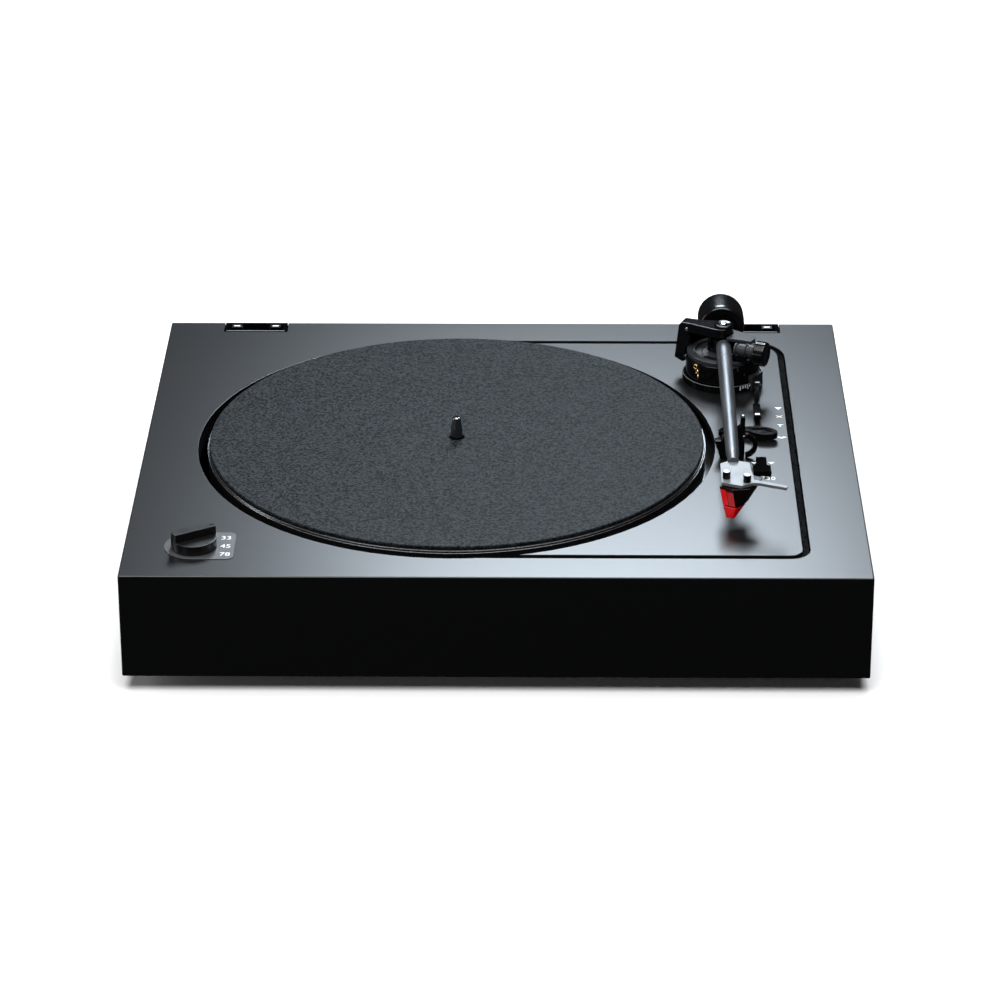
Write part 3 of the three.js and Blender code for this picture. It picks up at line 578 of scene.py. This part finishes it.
def build_knob():
    skirt = rounded([(0, 0.8, 0), (KNOB_R, 0.8), (KNOB_R, 6.6), (0, 6.6, 0)], 0.5)
    wheel = lathe("knob_skirt", skirt, "knob_black", AT_KNOB)
    grip = block("knob_grip", (-13.2, -2.65, 6.2), (13.2, 2.65, 11.5), "knob_black", AT_KNOB)
    limit_r = KNOB_R - 0.05
    limit = lathe("limit", [(0, 5), (limit_r, 5), (limit_r, 13), (0, 13)], "knob_black", AT_KNOB)
    clip = grip.modifiers.new("clip", "BOOLEAN")
    clip.operation = "INTERSECT"
    clip.object = limit
    apply_modifiers(grip)
    bpy.data.objects.remove(limit)
    carve(grip, block("notch", (10.4, -0.5, 10.5), (15, 0.5, 12), "knob_black", AT_KNOB))
    soften(grip, 0.35)
    stem = lathe("knob_stem", [(0, -20), (3, -20), (3, 1.5), (0, 1.5)], "knob_black", AT_KNOB, 32)
    mount(merge(wheel, grip, stem), "knob", "knob_black", "speed_knob")
    pointer = block("knob_pointer", (10.6, -0.45, 10.45), (13.2, 0.45, 10.7), "print", AT_KNOB)
    mount(pointer, "knob", "silver")
    stand_in("label_plate", "label", edge=0.12)
    for text, x, y in (("33", -156.4, -134.2), ("45", -156.1, -144.8), ("78", -155.9, -155.2)):
        lettering(f"speed_{text}", text, 4.6, (x, y, DECK + 0.48))


# ------------------------------------------------------------------ tonearm base, yoke and dial


def grooved(radii, level, depth):
    """Stretches of a turned profile at one level, each with a shallow groove in its middle."""
    bottom = level - depth
    profile = []
    for r in radii:
        profile += [(r + 0.3, level, 0.1), (r + 0.1, bottom, 0), (r - 0.1, bottom, 0), (r - 0.3, level, 0.1)]
    return profile


def build_arm_base():
    lift_at = AT_PIVOT @ turned(-113) @ Matrix.Translation((15, 0, 0))
    stem = rounded([
        (BORE_R, -9, 0), (7, -9), (7, 0.3, 0), (20, 0.3), (20, 5, 0), (DRUM_R, 5, 0.5),
        (DRUM_R, DRUM_TOP, 0.5), (BORE_R, DRUM_TOP, 0),
    ], 0.4)
    drum = lathe("arm_drum_shape", stem, "gloss_black", AT_PIVOT, 128)
    drilled(drum, LIFT_HOLE_R, -12, 20, "gloss_black", lift_at, 32)
    mount(drum, "base", "black_plastic", "arm_drum")

    bottom = DRUM_TOP + 0.3
    ridges = [(BORE_R, bottom, 0), (PLATE_R, bottom, 0.1), (PLATE_R, PLATE_RIM, 0.3)]
    ridges += grooved((21.2, 19.4), PLATE_RIM, 0.35)
    ridges += [(PLATE_STEP_R, PLATE_RIM, 0.2), (PLATE_STEP_R, PLATE_FLOOR, 0)]
    ridges += grooved((13.2, 10.6), PLATE_FLOOR, 0.3)
    ridges += [(BORE_R, PLATE_FLOOR, 0.2)]
    plate = lathe("drum_plate_shape", rounded(ridges, 0.1, 2), "dark_metal", AT_PIVOT, 128)
    drilled(plate, LIFT_HOLE_R, 15, 20, "dark_metal", lift_at, 32)
    mount(plate, "base", "silver", "drum_plate")

    root_r = RING_R - 0.75
    ring = prism("ring_knurl", toothed(root_r, RING_R, 84), 0.7, 3.7, "gloss_black", AT_PIVOT)
    drilled(ring, 20.5, -1, 8, "gloss_black", AT_PIVOT, 96)
    crown = rounded([(20.4, 0.4), (24.5, 0.4), (24.5, 3.6), (25.1, 3.6), (25.1, 4.6), (20.4, 4.6)], 0.25)
    merge(ring, lathe("ring_crown", crown, "gloss_black", AT_PIVOT, 128))
    mount(ring, "antiskate", "black_plastic", "antiskate_ring")
    # A light grey band on the ring's top rim edge: painted highlight where the glossy black edge catches the
    # light.
    line = rounded([(24.6, 4.5), (25.05, 4.5), (25.05, 4.68), (24.6, 4.68)], 0.06)
    mount(lathe("ring_painted_highlight", line, "silver", AT_PIVOT, 128), "antiskate", "silver")
    for k in range(8):
        place = AT_PIVOT @ turned(-66 + 4.2 * k)
        long = 1.7 if k % 3 else 2.6
        tick = block(f"skate_tick_{k}", (25.0, -0.35, 4.3 - long), (25.38, 0.35, 4.3), "print", place)
        mount(tick, "antiskate", "silver")
    stand_in("lift_bracket", "dark_metal", edge=0.4)
    loop = rounded([(0.9, -0.4), (1.7, -0.4), (1.7, 0.4), (0.9, 0.4)], 0.35, 3)
    clips = ((-17.7, -15.9, 14.6), (-16.7, -16.8, 11.6), (-16.1, -17.4, 8.8))
    for k, (x, y, z) in enumerate(clips):
        place = AT_PIVOT @ Matrix.Translation((x, y, z)) @ turned(-40 - 25 * k) @ FORWARD
        mount(lathe(f"lead_clip_{k}", loop, "brass", place, 24), "base", "brass")


def build_yoke():
    stand_in("yoke", "gloss_black", edge=0.55)
    z = YOKE_TOP
    cap = rounded([
        (0, z + 0.05, 0), (5.75, z + 0.05), (5.75, z + 1.3), (4.9, z + 1.9), (2.9, z + 1.5), (0, z + 1.5, 0),
    ], 0.35)
    mount(lathe("yoke_cap_shape", cap, "gloss_black", AT_PIVOT, 64), "base", "black_plastic", "yoke_cap")
    head = rounded([(0, z + 1.3, 0), (2.2, z + 1.3), (2.2, z + 2.1), (1.2, z + 2.4), (0, z + 2.4, 0)], 0.3)
    screw = lathe("pivot_screw", head, "chrome", AT_PIVOT, 48)
    carve(screw, block("slot", (-2.5, -0.25, z + 2.0), (2.5, 0.25, z + 3), "chrome", AT_GIMBAL))
    mount(screw, "base", "chrome")
    pin = rounded([(0, 0, 0), (1.1, 0), (1.1, 0.5), (0, 0.7, 0)], 0.2)
    for name, height in (("low", 13), ("high", 31.5)):
        placed = AT_GIMBAL @ Matrix.Translation((-22.9, -4.4, height)) @ FORWARD
        mount(lathe(f"yoke_pin_{name}", pin, "chrome", placed, 32), "base", "chrome")
    stand_in("gimbal_frame", "gloss_black", edge=0.3)
    # A matte black wall behind the yoke window: painted shade, standing in for the shadow and the dark parts
    # seen through the window.
    turns = [math.radians(112 + 44 * k / 12) for k in range(13)]
    wall = [(22.2 * math.cos(t), 22.2 * math.sin(t)) for t in turns]
    wall += [(20.6 * math.cos(t), 20.6 * math.sin(t)) for t in reversed(turns)]
    shade_wall = prism("drum_shade_wall", wall, 19.3, 27.5, "matte_black", AT_PIVOT)
    mount(shade_wall, "base", "black_plastic", edge=0.3)
    outline = rounded([(9.6, -15.4), (20.6, -15.4), (20.6, -8.2), (9.6, -8.2)], 1.5)
    cheek = prism("dial_cheek", outline, 20.5, 24.4, "gloss_black", AT_GIMBAL)
    mount(cheek, "gimbal", "black_plastic", edge=0.4)
    stand_in("gimbal_wing", "dark_metal", edge=0.35)
    build_dial()


def build_dial():
    at_dial = AT_GIMBAL @ Matrix.Translation((0, -11.4, 26)) @ RIGHTWARD
    shaft = rounded([
        (0, 11.9, 0), (4.4, 11.9), (4.4, 13.2), (3.5, 13.6), (3.5, 14.4), (4.4, 14.8), (4.4, 19.4),
        (3.4, 19.8), (3.4, 20.8), (4.6, 21.2), (4.6, 24.9), (0, 24.9, 0),
    ], 0.25)
    mount(lathe("dial_shaft_shape", shaft, "dark_metal", at_dial, 64), "gimbal", "steel", "dial_shaft")
    knurl = prism("dial_knurl", toothed(DIAL_R - 0.5, DIAL_R, 44), 26.3, 31.3, "gloss_black", at_dial)
    r, waist = DIAL_R - 0.05, DIAL_R - 0.45
    core = rounded([
        (0, 25.2, 0), (7.0, 25.2), (r, 25.8), (r, 26.4, 0), (waist, 26.4, 0), (waist, 31.2, 0), (r, 31.2, 0),
        (r, 32.1), (7.0, 32.9), (5.2, 32.9), (4.8, 32.4), (0, 32.4, 0),
    ], 0.3)
    merge(knurl, lathe("dial_core", core, "gloss_black", at_dial, 72))
    mount(knurl, "dial", "black_plastic", "force_dial")


# ------------------------------------------------------------------ tonearm


def build_arm():
    along = AT_ARM @ Matrix.Translation((0, 0, ARM_Z)) @ FORWARD
    tube = rounded([
        (0, 6.9, 0), (TUBE_R, 6.9), (TUBE_R, 29.2), (4.4, 29.4), (4.4, 29.8), (4.6, 30), (3.95, 165, 1.5),
        (3.4, 169.2, 1.0), (3.2, TUBE_END, 0.4), (0, TUBE_END, 0),
    ], 0.25)
    mount(lathe("arm_tube_shape", tube, "tube_grey", along, 72), "arm", "tube_grey", "arm_tube")
    stand_in("pivot_block", "gloss_black", edge=0.3)
    stand_in("headshell", "silver", edge=0.35)
    for side in ("left", "right"):
        node = f"headshell_screw_{side}"
        at = middle(node)
        # Each chrome screw is drawn with black sides and a white top: painted shade on its sides and a
        # painted highlight on its top.
        head = rounded([
            (0, 18.5, 0), (1.2, 18.5), (1.2, 24.8, 0), (2.3, 24.8), (2.3, 29, 0.4), (0, 29, 0),
        ], 0.15)
        placed = Matrix.Translation((at.x, at.y, DECK))
        screw = lathe(f"{node}_shape", head, "gloss_black", placed, 48)
        mount(screw, "arm", "chrome", node)
        # The white top cap is a painted highlight, not print.
        cap = rounded([(0, 28.9, 0), (2.0, 28.9), (2.0, 29.15), (0, 29.25, 0)], 0.1)
        top = lathe(f"{node}_cap", cap, "print", placed, 48)
        carve(top, block("slot", (-3, -0.35, 28), (3, 0.35, 30), "print", placed @ turned(30)))
        mount(top, "arm", "silver")
    build_cartridge()
    build_counterweight()


def build_counterweight():
    back = AT_ARM @ Matrix.Translation((0, 0, ARM_Z - WEIGHT_DROP)) @ BACKWARD
    body = rounded([
        (0, 30.0, 0), (9.4, 30.0, 0.4), (10.0, 28.6, 0.4), (13.6, 28.6, 0.9), (14.6, 31.2, 1.6),
        (14.8, 42.0, 8), (14.5, 52.0, 4.0), (11.6, 56.4, 2.2), (6, 56.4, 0.4), (5.4, 55.6, 0.3), (0, 55.6, 0),
    ], 0.5)
    weight = lathe("counterweight_shape", body, "weight_black", back, 128)
    bore = AT_ARM @ Matrix.Translation((0, 0, ARM_Z)) @ BACKWARD
    drilled(weight, 3.8, 20, 50.5, "weight_black", bore, 48)
    mount(weight, "weight", "weight_black", "counterweight")


def build_cartridge():
    stand_in("cartridge_body", "cartridge_dark", edge=0.5)
    stand_in("stylus_unit", "stylus_red", edge=0.6)
    front = ((-4, -11.5, 12.6), (4, -12.5, 12.6), (1, -9.5, 22.4), (-8, -7.4, 22.4))
    side = ((-6.2, -1, 12.6), (-4, -11.5, 12.6), (-8, -7.4, 22.4), (-8, 16, 22.4))
    strips = (
        # The edge strip is a brighter red than the face strip: painted highlight where the front facet's left
        # edge catches the light.
        ("edge", front, (0.03, 0.42), (0.04, 0.86), "stylus_red"),
        ("face", front, (0.46, 0.97), (0.04, 0.80), "cartridge_red"),
        ("side", side, (0.04, 0.96), (0.06, 0.9), "cartridge_red"),
    )
    for name, corners, across, upward, finish in strips:
        strip = panel(f"cartridge_{name}", corners, across, upward, finish, AT_CARTRIDGE)
        mount(strip, "arm", "stylus_red")
    rod = rounded([(0, 0, 0), (0.3, 0), (0.22, 4.4), (0, 4.4, 0)], 0.05)
    place = AT_CARTRIDGE @ Matrix.Translation((0.6, -8.8, 7.2)) @ turned(112, "X")
    mount(lathe("cantilever", rod, "aluminium", place, 20), "arm", "aluminium")
    rod = rounded([(0, 0, 0), (0.6, 0), (0.6, 4), (0, 4, 0)], 0.15)
    for k in range(4):
        place = AT_CARTRIDGE @ Matrix.Translation((-3.9 + 2.6 * k, 15.8, 17.5)) @ BACKWARD
        mount(lathe(f"cartridge_pin_{k}", rod, "brass", place, 20), "arm", "brass")


# ------------------------------------------------------------------ lift, levers, rest and board marks


def build_controls():
    stand_in("lift_arc", edge=0.4)
    stand_in("lift_lever", edge=0.35)
    build_start_lever()
    stand_in("size_selector", "matte_black", edge=0.3)
    stand_in("arm_rest", edge=0.4)
    stand_in("arm_latch", "gloss_black", edge=0.6)
    for name, x, y0, y1, z in (("root", 0.1, -0.9, 0.4, 2.98), ("tip", -1.9, -47.9, -45.6, 2.38)):
        mark = block(f"lever_mark_{name}", (x - 1.4, y0, z), (x + 1.4, y1, z + 0.08), "print", AT_LEVER)
        mount(mark, "lever", "silver")
    dot = rounded([(0, 28.05, 0), (0.75, 28.05), (0.75, 28.25), (0, 28.3, 0)], 0.1)
    place = Matrix.Translation((PIVOT.x + 7.1, -22, DECK))
    mount(lathe("rest_dot", dot, "print", place, 32), "base", "silver")
    build_marks()


def build_start_lever():
    """A thumb lever whose oval end is scooped out, leaving a raised rim."""
    lever = refined("start_lever", "gloss_black")
    oval = [
        (13.5, 0.2), (16.5, -2.8), (20.5, -6.2), (25, -7.7), (29.4, -6.6), (29.8, -3.9), (26.2, -0.2),
        (21.5, 1.7),
    ]
    carve(lever, prism("scoop", rounded(oval, 2.6, 6), 4.5, 9, "gloss_black", joint_place("start_turn")))
    mount(lever, "start", "black_plastic", "start_lever", edge=0.5, segments=4)


def build_marks():
    """Plain arrows and size numbers printed on the board."""
    pointer = [(-1.9, 1.3), (1.9, 1.3), (0, -1.5)]
    arrow = [(-2.2, 1.6), (2.2, 1.6), (0, -1.8)]
    cross = [
        (-2.2, 1.8), (0, 0.5), (2.2, 1.8), (0.7, 0), (2.2, -1.6), (0, -0.4), (-2.2, -1.6), (-0.7, 0),
    ]
    flag = [(-2.0, 1.4), (2.2, 1.4), (0.4, 0.4), (0.2, -1.8), (-0.6, -1.8), (-0.6, 0.2)]
    bar = [
        (-3.0, 0.5), (-1.6, 1.3), (-0.4, 0.1), (1.0, 1.3), (3.2, 0.4), (1.2, -0.5), (0.2, -1.5), (-1.6, -0.9),
    ]
    arrows = (
        ("down", 172.6, 49.7, arrow),
        ("cross", 172.6, 37.5, cross),
        ("flag", 172.6, 24.5, flag),
        ("bar", 172.6, 7.0, bar),
        ("select_left", 153.9, -29.6, pointer),
        ("select_right", 164.3, -29.6, pointer),
    )
    for name, x, y, outline in arrows:
        mark = prism(f"mark_{name}", outline, 0.01, 0.06, "print", AT_DECK @ Matrix.Translation((x, y, 0)))
        mount(mark, "base", "silver")
    lettering("size_17", "17", 4.2, (156.8, -50.6, DECK + 0.04))
    lettering("size_30", "30", 4.2, (162.8, -51.2, DECK + 0.04))


# ------------------------------------------------------------------ rear connections


def on_rear_plate(node):
    """The place of a connector: its middle, on the plate's outer face, looking backward."""
    at = middle(node)
    return Matrix.Translation((at.x, reach("rear_plate")[1].y, at.z)) @ BACKWARD


def build_rear():
    stand_in("rear_plate", edge=0.3)
    collar = rounded([(4.3, 1.6), (5.2, 1.6), (5.2, 2.6), (4.3, 2.6)], 0.2)
    barrel = rounded([
        (0, -6, 0), (3.5, -6), (3.5, 0.3, 0), (5.5, 0.3), (5.5, 1.5), (4.1, 1.5, 0), (4.1, 8), (1.7, 8),
        (1.7, 2, 0), (0, 2, 0),
    ], 0.2)
    for side, color, slot in (("left", "print", "silver"), ("right", "stylus_red", "stylus_red")):
        node = f"output_jack_{side}"
        place = on_rear_plate(node)
        mount(lathe(f"{node}_shape", barrel, "brass", place, 48), "base", "brass", node)
        mount(lathe(f"{node}_collar", collar, color, place, 48), "base", slot)
    place = on_rear_plate("ground_post")
    knurl = prism("ground_knurl", toothed(4.0, 4.45, 28), 1.2, 6.0, "chrome", place)
    core = rounded([
        (0, -6, 0), (2, -6), (2, 0.3, 0), (4.4, 0.3), (4.4, 1.2, 0), (4.05, 1.3, 0), (4.05, 6, 0), (4.4, 6.1),
        (4.0, 7.2), (0, 7.2, 0),
    ], 0.2)
    merge(knurl, lathe("ground_core", core, "chrome", place, 48))
    mount(knurl, "base", "chrome", "ground_post")
    stand_in("power_socket", edge=0.3)
    pin = rounded([(0, -3, 0), (0.9, -3, 0), (0.9, 2.0), (0, 2.3, 0)], 0.3)
    mount(lathe("power_pin", pin, "chrome", on_rear_plate("power_socket"), 32), "base", "chrome")


# ------------------------------------------------------------------ camera, lights and floor

LENS = 141.858
CAMERA_AT = (0.024838, -2.175704, 1.014171 + DECK * MM)
YAW, PITCH, ROLL = (math.radians(angle) for angle in (-0.64002, 25.84019, -0.11057))


def make_camera():
    """The photo's view: turned by YAW from the depth axis, down by PITCH and round its own axis by ROLL."""
    data = bpy.data.cameras.new("camera")
    data.lens = LENS
    data.sensor_width = 36
    data.clip_end = 50
    thing = bpy.data.objects.new("camera", data)
    forward = Vector((math.sin(YAW) * math.cos(PITCH), math.cos(YAW) * math.cos(PITCH), -math.sin(PITCH)))
    right = Vector((math.cos(YAW), -math.sin(YAW), 0))
    up = right.cross(forward)
    turned_right = math.cos(ROLL) * right + math.sin(ROLL) * up
    turned_up = math.cos(ROLL) * up - math.sin(ROLL) * right
    rows = Matrix((turned_right, turned_up, -forward)).transposed()
    thing.matrix_world = Matrix.Translation(CAMERA_AT) @ rows.to_4x4()
    SCENE.collection.objects.link(thing)
    SCENE.camera = thing


def softbox(name, place, target, size, power, color=(1, 1, 1)):
    data = bpy.data.lights.new(name, "AREA")
    data.shape = "RECTANGLE"
    data.size, data.size_y = size
    data.energy = power
    data.color = color
    thing = bpy.data.objects.new(name, data)
    thing.location = place
    aim = Vector(target) - Vector(place)
    thing.rotation_euler = aim.to_track_quat("-Z", "Y").to_euler()
    SCENE.collection.objects.link(thing)


def make_stage():
    bpy.ops.mesh.primitive_plane_add(size=30, location=(0, 0, 0))
    floor = bpy.context.object
    floor.name = "floor"
    paper = Finish("paper", (0.93, 0.93, 0.93), 0.9, Specular_IOR_Level=0.2)
    paper.vary_color(paper.noise(3), 0.995, 1.0)
    floor.data.materials.append(paper.material)
    floor.visible_glossy = False
    floor.visible_diffuse = False
    world = bpy.data.worlds.new("studio")
    world.use_nodes = True
    background = world.node_tree.nodes["Background"]
    background.inputs["Color"].default_value = (1, 1, 1, 1)
    background.inputs["Strength"].default_value = 0.02
    SCENE.world = world
    SCENE.view_settings.view_transform = "Standard"
    softbox("softbox_back", (0.09, 1.15, 1.08), (0.09, 0.0, 0.75), (0.46, 0.58), 21, (0.80, 0.90, 1))
    softbox("softbox_top", (0.0, -0.45, 2.2), (0.0, -0.2, 0.0), (2.5, 2.5), 100)
    softbox("softbox_left", (-1.4, 0.1, 0.45), (0.0, 0.0, 0.1), (0.3, 0.7), 5)
    softbox("softbox_fill", (-1.5, -1.5, 0.5), (0.15, -0.1, DECK * MM), (0.5, 0.5), 4)


build_plinth()
build_platter()
build_knob()
build_arm_base()
build_yoke()
build_arm()
build_controls()
build_rear()
make_camera()
make_stage()
